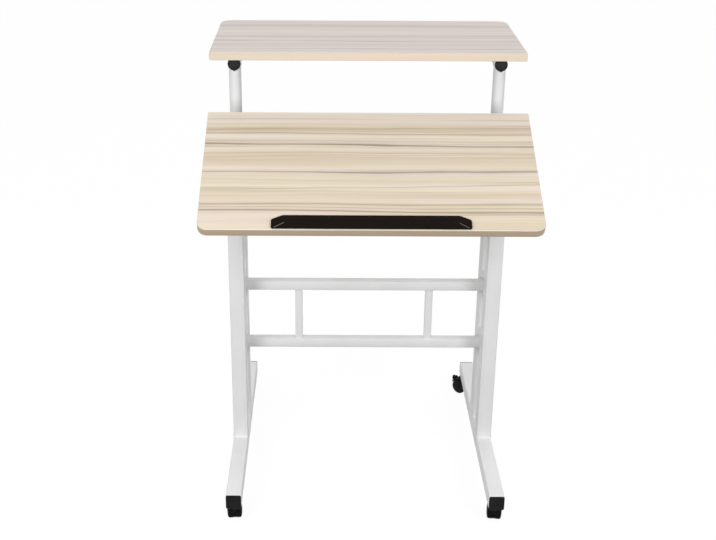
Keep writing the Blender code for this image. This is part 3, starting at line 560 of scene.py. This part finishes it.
def knob_mesh(stud):
    """A star knob along Z: a stud below, a hub, a lobed grip with soft edges and a cap on top."""
    steps = 96

    def lobes(inset):
        return polar(lambda turn: KNOB_RADIUS - inset
                     - KNOB_LOBE_DEPTH * (1 - math.cos(KNOB_LOBES * turn)) / 2, steps)

    rings = []
    if stud:
        rings = [lifted(circle(KNOB_STUD_RADIUS, steps), -stud), lifted(circle(KNOB_STUD_RADIUS, steps), 0)]
    rings += [lifted(circle(KNOB_HUB_RADIUS - 0.5 * MM, steps), 0),
              lifted(circle(KNOB_HUB_RADIUS, steps), 0.5 * MM),
              lifted(circle(KNOB_HUB_RADIUS, steps), KNOB_HUB_HEIGHT)]
    for step in range(5):
        turn = step / 4 * math.pi / 2
        inset = KNOB_EDGE * (1 - math.sin(turn)) * 0.7
        rings.append(lifted(lobes(inset), KNOB_HUB_HEIGHT + KNOB_EDGE * (1 - math.cos(turn))))
    for step in range(6):
        turn = step / 5 * math.pi / 2
        inset = KNOB_EDGE * (1 - math.cos(turn))
        rings.append(lifted(lobes(inset), KNOB_HEIGHT - KNOB_EDGE * (1 - math.sin(turn))))
    groove_bottom = KNOB_HEIGHT - KNOB_GROOVE
    rings += [lifted(circle(KNOB_CAP_RADIUS + KNOB_GROOVE, steps), KNOB_HEIGHT),
              lifted(circle(KNOB_CAP_RADIUS + KNOB_GROOVE, steps), groove_bottom),
              lifted(circle(KNOB_CAP_RADIUS, steps), groove_bottom),
              lifted(circle(KNOB_CAP_RADIUS, steps), KNOB_HEIGHT - 0.2 * MM),
              lifted(circle(KNOB_CAP_RADIUS - 1 * MM, steps), KNOB_HEIGHT)]
    return loft(rings)


def add_knobs(black):
    for name, side in SIDES.items():
        for place in ("tilt", "front", "rear"):
            node = f"tilt_knob_{name}" if place == "tilt" else f"height_knob_{place}_{name}"
            joint = next(row for row in frame["joints"] if row["child"] == f"knob_{place}_{name}")
            low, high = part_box(node)
            stud = abs(joint["pos_m"][0]) - min(abs(low.x), abs(high.x))
            at = Matrix.Translation(joint["pos_m"]) @ outward(side)
            piece(f"grip_{place}_{name}", placed(knob_mesh(max(stud, 0)), at), black,
                  f"knob_{place}_{name}", "plastic_black", node)


def wheels_mesh():
    """Twin castor wheels and their axle along Z: round treads, domed faces and a ringed hub cap."""
    steps = 56
    half = WHEEL_PAIR_WIDTH / 2
    rim = WHEEL_RADIUS - WHEEL_SHOULDER

    def dome(radius):
        return half + WHEEL_DOME * math.sqrt(1 - (radius / rim) ** 2)

    crown = dome(0)
    outside_in = [(crown, 0.4 * MM), (crown, 3.4 * MM), (crown - 0.3 * MM, 3.9 * MM),
                  (crown - 1.0 * MM, 4.0 * MM), (crown - 1.0 * MM, 4.8 * MM)]
    outside_in += [(dome(share * rim), share * rim) for share in (0.32, 0.45, 0.60, 0.74, 0.84, 0.92, 0.97)]
    outside_in += [
        (half, rim),
        (half - 0.5 * MM, WHEEL_RADIUS - 0.6 * MM),
        (half - WHEEL_SHOULDER, WHEEL_RADIUS),
        (WHEEL_INNER + 0.5 * MM, WHEEL_RADIUS),
        (WHEEL_INNER, WHEEL_RADIUS - 0.5 * MM),
        (WHEEL_INNER, AXLE_RADIUS),
    ]
    profile = outside_in + [(-place, radius) for place, radius in reversed(outside_in)]
    return loft([lifted(circle(radius, steps), place) for place, radius in profile])


def keel_mesh():
    """A rim with eased edges round the castor's web, which closes the slit between its wheels."""
    steps = 56
    half = WEB_THICKNESS / 2 - 0.2 * MM
    outer = WHEEL_RADIUS - KEEL_DROP
    inner = outer - KEEL_WIDTH
    profile = ((-half, inner), (-half, outer - KEEL_EDGE), (KEEL_EDGE - half, outer),
               (half - KEEL_EDGE, outer), (half, outer - KEEL_EDGE), (half, inner))
    return loft([lifted(circle(radius, steps), place) for place, radius in profile], closed=True)


def add_wheels(tread, shaded_black):
    for end in ENDS:
        for name in SIDES:
            tag = f"{end}_{name}"
            joint = next(row for row in frame["joints"] if row["child"] == f"wheels_{tag}")
            turn = Vector((0, 0, 1)).rotation_difference(Vector(joint["axis"])).to_matrix().to_4x4()
            at = Matrix.Translation(joint["pos_m"]) @ turn
            piece(f"twin_wheels_{tag}", placed(wheels_mesh(), at), tread,
                  f"wheels_{tag}", "castor_tread", f"castor_wheels_{tag}")
            piece(f"castor_keel_{tag}", placed(keel_mesh(), at), shaded_black, f"castor_{tag}", "plastic_black")


def plug_mesh():
    """A domed end plug along Z with a ring and, on its lower side, a small moulding nub."""
    steps = 64

    def rim(inset):
        def reach(turn):
            lean = (turn - 3 * math.pi / 2) / math.radians(9)
            nub = PLUG_NUB * math.exp(-lean * lean) if inset < 0.5 * MM else 0
            return SHELF_ARM_RADIUS - inset + nub
        return polar(reach, steps)

    profile = [(rim(PLUG_WALL), -PLUG_DEPTH), (rim(PLUG_WALL), REST_GAP), (rim(0.2 * MM), REST_GAP),
               (rim(0), 0.6 * MM), (rim(0), 1.6 * MM), (rim(0.45 * MM), 2.3 * MM)]
    ringed = ((1.6, 2.75), (3.0, 3.1), (3.4, 2.6), (4.2, 2.6), (4.6, 3.1), (7.5, 3.7), (10.5, 3.95))
    for inset, height in ringed:
        profile.append((rim(inset * MM), height * MM))
    return loft([lifted(outline, height) for outline, height in profile])


def add_plugs(plastic):
    for end in ENDS:
        for name in SIDES:
            low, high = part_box(f"shelf_arm_{name}")
            middle = (low + high) / 2
            face = low.y if end == "front" else high.y
            lie = Matrix.Rotation(math.pi / 2 if end == "front" else -math.pi / 2, 4, "X")
            spin = Matrix.Rotation(0 if end == "front" else math.pi, 4, "Z")
            at = Matrix.Translation((middle.x, face, middle.z)) @ lie @ spin
            piece(f"end_plug_{end}_{name}", placed(plug_mesh(), at), plastic,
                  "shelf_carriage", "plastic_black", f"arm_plug_{end}_{name}")


# Screws and bolts

def recessed_head(radius, height, recess, reach):
    """A domed head along Z whose driver recess is given by the outline's reach."""
    steps = 48
    dome = ((1.0, 0.0), (1.0, 0.35), (0.93, 0.62), (0.78, 0.85), (0.60, 1.0))
    rings = [lifted(circle(radius * across, steps), height * up) for across, up in dome]
    rings += [lifted(polar(reach, steps), height), lifted(polar(reach, steps), height - recess)]
    return loft(rings)


def cross_reach(turn):
    """A cross recess, as a star of four narrow arms."""
    return 0.6 * MM + 1.7 * MM * abs(math.cos(2 * turn)) ** 6


def hexagon_reach(turn):
    sector = math.pi / 3
    return 2 * MM / math.cos((turn + sector / 2) % sector - sector / 2)


def wood_screw():
    return recessed_head(SCREW_HEAD_RADIUS, SCREW_HEAD_HEIGHT, SCREW_RECESS, cross_reach)


def socket_bolt():
    """A button-head bolt on a washer."""
    steps = 48
    eased = circle(WASHER_RADIUS - 0.4 * MM, steps)
    full = circle(WASHER_RADIUS, steps)
    washer = loft([lifted(full, 0), lifted(full, WASHER_HEIGHT * 0.7), lifted(eased, WASHER_HEIGHT)])
    head = recessed_head(BOLT_HEAD_RADIUS, BOLT_HEAD_HEIGHT, BOLT_RECESS, hexagon_reach)
    return merged([washer, placed(head, Matrix.Translation((0, 0, WASHER_HEIGHT)))])


def add_screws(zinc, pivot):
    down = Matrix.Rotation(math.pi, 4, "X")
    desk = Matrix.Translation(pivot) @ Matrix.Rotation(REST_TILT, 4, "X")
    flange = DESK_RISE - REST_GAP - ARM_PLATE
    for name, side in SIDES.items():
        heads = [placed(wood_screw(), desk @ Matrix.Translation((side * ARM_SCREW_X, -reach, flange)) @ down)
                 for reach in ARM_SCREW_REACHES]
        piece(f"desk_screws_{name}", merged(heads), zinc, "desk", "fastener_steel")
        low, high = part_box(f"shelf_arm_{name}")
        heads = []
        for share in SHELF_SCREW_SHARES:
            place = ((low.x + high.x) / 2, low.y + share * (high.y - low.y), low.z + REST_GAP)
            heads.append(placed(wood_screw(), Matrix.Translation(place) @ down))
        piece(f"shelf_screws_{name}", merged(heads), zinc, "shelf_carriage", "fastener_steel")
        heads = []
        for level in ("upper", "lower"):
            low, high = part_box(f"spacer_{level}_{name}")
            middle = (low + high) / 2
            face = high.x if side > 0 else low.x
            at = Matrix.Translation((face, middle.y, middle.z)) @ outward(side)
            heads.append(placed(socket_bolt(), at))
        piece(f"rail_bolts_{name}", merged(heads), zinc, "frame", "fastener_steel")


# Weld beads

def resampled(points):
    """Even steps round a closed path of points."""
    corners = [Vector(point) for point in points]
    legs = [(b - a).length for a, b in zip(corners, corners[1:] + corners[:1])]
    count = max(12, round(sum(legs) / WELD_STEP))
    step = sum(legs) / count
    path = []
    leg = 0
    done = 0.0
    for index in range(count):
        while done + legs[leg] < index * step:
            done += legs[leg]
            leg += 1
        share = (index * step - done) / legs[leg]
        path.append(corners[leg].lerp(corners[(leg + 1) % len(corners)], share))
    return path


def bead(points, axis, radius=WELD_RADIUS):
    """A rippled weld bead round a closed path that lies about square to an axis."""
    path = resampled(points)
    rings = []
    for index, middle in enumerate(path):
        ahead = path[(index + 1) % len(path)]
        behind = path[index - 1]
        side = (ahead - behind).cross(axis).normalized()
        up = side.cross(ahead - behind).normalized()
        ripple = math.sin(2 * math.pi * round(len(path) * WELD_STEP / WELD_PITCH) * index / len(path))
        reach = radius * (1 + WELD_RIPPLE * ripple)
        turns = [2 * math.pi * corner / WELD_SIDES for corner in range(WELD_SIDES)]
        rings.append([middle + reach * (math.cos(turn) * side + math.sin(turn) * up) for turn in turns])
    return loft(rings, closed=True)


def framed(outline, middle, axis):
    """An outline stood square to an axis, about a middle."""
    if axis == "Y":
        return [(middle.x + first, middle.y, middle.z + second) for first, second in outline]
    return [(middle.x + first, middle.y + second, middle.z) for first, second in outline]


def add_welds(white):
    up = Vector((0, 0, 1))
    back = Vector((0, 1, 0))
    for name in SIDES:
        foot_low, foot_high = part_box(f"foot_{name}")
        beads = []
        for end in ENDS:
            low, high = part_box(f"upright_{end}_{name}")
            middle = Vector(((foot_low.x + foot_high.x) / 2, (low.y + high.y) / 2, foot_high.z + 0.2 * MM))
            outline = rectangle(foot_high.x - foot_low.x, high.y - low.y, TUBE_CORNER)
            beads.append(bead(framed(outline, middle, "Z"), up))
        for level in ("upper", "lower"):
            low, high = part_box(f"spacer_{level}_{name}")
            outline = rectangle(high.x - low.x, high.z - low.z, RAIL_CORNER)
            for face in (low.y, high.y):
                middle = Vector(((low.x + high.x) / 2, face, (low.z + high.z) / 2))
                beads.append(bead(framed(outline, middle, "Y"), back))
        piece(f"side_welds_{name}", merged(beads), white, "frame", "frame_white")

        low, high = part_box(f"strut_{name}")
        outline = rectangle(high.x - low.x, high.y - low.y, RAIL_CORNER)
        beads = []
        for face in (low.z, high.z):
            middle = Vector(((low.x + high.x) / 2, (low.y + high.y) / 2, face))
            beads.append(bead(framed(outline, middle, "Z"), up, WELD_RADIUS * 0.8))
        piece(f"strut_welds_{name}", merged(beads), white, "frame", "frame_white")

        low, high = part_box(f"shelf_post_{name}")
        arm_low, arm_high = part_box(f"shelf_arm_{name}")
        axis_height = (arm_low.z + arm_high.z) / 2
        saddle = []
        for first, second in circle(POST_RADIUS, 64):
            drop = math.sqrt(SHELF_ARM_RADIUS ** 2 - first ** 2)
            saddle.append(((low.x + high.x) / 2 + first, (low.y + high.y) / 2 + second, axis_height - drop))
        piece(f"post_weld_{name}", bead(saddle, up), white, "shelf_carriage", "frame_white")


# Studio and camera

def white_rays(tree):
    """One for the rays that see the background as plain white, and zero for those that light the object."""
    rays = tree.nodes.new("ShaderNodeLightPath")
    seen = rays.outputs["Is Camera Ray"]
    for name in ("Is Glossy Ray", "Is Transmission Ray"):
        either = tree.nodes.new("ShaderNodeMath")
        either.operation = "MAXIMUM"
        tree.links.new(seen, either.inputs[0])
        tree.links.new(rays.outputs[name], either.inputs[1])
        seen = either.outputs[0]
    return seen


def add_world():
    world = bpy.data.worlds.new("studio")
    bpy.context.scene.world = world
    world.use_nodes = True
    tree = world.node_tree
    ambient = tree.nodes["Background"]
    ambient.inputs["Color"].default_value = (1, 1, 1, 1)
    ambient.inputs["Strength"].default_value = AMBIENT
    white = tree.nodes.new("ShaderNodeBackground")
    white.inputs["Color"].default_value = (1, 1, 1, 1)
    white.inputs["Strength"].default_value = 1
    mixed = tree.nodes.new("ShaderNodeMixShader")
    tree.links.new(white_rays(tree), mixed.inputs["Fac"])
    tree.links.new(ambient.outputs[0], mixed.inputs[1])
    tree.links.new(white.outputs[0], mixed.inputs[2])
    tree.links.new(mixed.outputs[0], tree.nodes["World Output"].inputs["Surface"])


def add_floor():
    """A floor that looks white and keeps the table's shadow, but throws little light back up."""
    mesh = bpy.data.meshes.new("floor")
    corners = [(-FLOOR_HALF, -FLOOR_HALF, 0), (FLOOR_HALF, -FLOOR_HALF, 0),
               (FLOOR_HALF, FLOOR_HALF, 0), (-FLOOR_HALF, FLOOR_HALF, 0)]
    mesh.from_pydata(corners, [], [(0, 1, 2, 3)])
    material = bpy.data.materials.new("floor")
    material.use_nodes = True
    tree = material.node_tree
    tree.nodes.remove(tree.nodes["Principled BSDF"])
    bounce = tree.nodes.new("ShaderNodeBsdfDiffuse")
    bounce.inputs["Color"].default_value = (*FLOOR_BOUNCE, 1)
    matt = tree.nodes.new("ShaderNodeBsdfDiffuse")
    matt.inputs["Color"].default_value = (*FLOOR_MATT, 1)
    glow = tree.nodes.new("ShaderNodeEmission")
    glow.inputs["Strength"].default_value = FLOOR_GLOW
    seen = tree.nodes.new("ShaderNodeAddShader")
    tree.links.new(matt.outputs[0], seen.inputs[0])
    tree.links.new(glow.outputs[0], seen.inputs[1])
    mixed = tree.nodes.new("ShaderNodeMixShader")
    tree.links.new(white_rays(tree), mixed.inputs["Fac"])
    tree.links.new(bounce.outputs[0], mixed.inputs[1])
    tree.links.new(seen.outputs[0], mixed.inputs[2])
    tree.links.new(mixed.outputs[0], tree.nodes["Material Output"].inputs["Surface"])
    mesh.materials.append(material)
    floor = bpy.data.objects.new("floor", mesh)
    bpy.context.scene.collection.objects.link(floor)


def add_soft_boxes():
    """The key lights: a square box on each side of the camera, a little stronger on the left."""
    for name, side in SIDES.items():
        place = Vector((side * KEY_SPREAD, -KEY_DEPTH, KEY_HEIGHT))
        lamp = bpy.data.lights.new(f"key_{name}", "AREA")
        lamp.energy = KEY_POWER[name]
        lamp.shape = "SQUARE"
        lamp.size = KEY_SIZE
        box = bpy.data.objects.new(f"key_{name}", lamp)
        bpy.context.scene.collection.objects.link(box)
        box.location = place
        box.rotation_euler = (place - Vector(KEY_AIM)).to_track_quat("Z", "Y").to_euler()
        box.visible_camera = False
        box.visible_glossy = False


def add_fill():
    lamp = bpy.data.lights.new("fill", "SUN")
    lamp.energy = FILL_STRENGTH
    lamp.angle = FILL_SPREAD
    sun = bpy.data.objects.new("fill", lamp)
    bpy.context.scene.collection.objects.link(sun)
    sun.location = FILL_FROM
    sun.visible_glossy = False
    sun.rotation_euler = Vector(FILL_FROM).to_track_quat("Z", "Y").to_euler()


def add_camera():
    lens = bpy.data.cameras.new("camera")
    lens.lens = CAMERA_LENS
    lens.shift_x = CAMERA_SHIFT
    camera = bpy.data.objects.new("camera", lens)
    bpy.context.scene.collection.objects.link(camera)
    turn = (Matrix.Rotation(CAMERA_YAW, 4, "Z") @ Matrix.Rotation(CAMERA_TILT, 4, "X")
            @ Matrix.Rotation(CAMERA_ROLL, 4, "Z"))
    camera.matrix_world = Matrix.Translation(CAMERA_PLACE) @ turn
    bpy.context.scene.camera = camera


def main():
    pivot = next(row for row in frame["joints"] if row["name"] == "desk_tilt")["pos_m"]
    low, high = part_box("shelf")
    shelf_top = ((low.x + high.x) / 2, (low.y + high.y) / 2, high.z)
    white = powder_coat("white_powder_coat", WHITE_PAINT, 0.42, 0.4)
    black = moulded_plastic("black_plastic", BLACK_PLASTIC, 0.42, 0.10, 1400)
    gloss = moulded_plastic("plug_plastic", PLUG_PLASTIC, 0.26, 0.32, 900)
    # The castor housings' and keels' darker black is painted shade under the foot caps
    shaded_black = moulded_plastic("castor_painted_shade", CASTOR_SHADED_BLACK, 0.5, 0.05, 900)
    tread = moulded_plastic("castor_tread", CASTOR_TREAD, 0.44, 0.10, 900)
    zinc = zinc_plate("zinc_plate")
    finishes = {
        "frame_white": white,
        "plastic_black": black,
        "castor_tread": tread,
        "fastener_steel": zinc,
        "ledge_black": ledge_coat("ledge_black"),
        "desktop": melamine("desktop_print", tilted_top(pivot), REST_TILT, DESK_TONES, 0.0),
        "shelf": melamine("shelf_print", shelf_top, 0.0, SHELF_TONES, SHELF_PRINT_SHIFT),
    }
    # Castor housings take the darker black, painted shade under the foot caps
    for end in ENDS:
        finishes.update({f"castor_housing_{end}_{name}": shaded_black for name in SIDES})
    dress_cad(finishes)
    add_knobs(black)
    add_wheels(tread, shaded_black)
    add_plugs(gloss)
    add_screws(zinc, pivot)
    add_welds(white)
    add_world()
    add_floor()
    add_soft_boxes()
    add_fill()
    add_camera()
    bpy.context.scene.view_settings.view_transform = "Standard"


main()
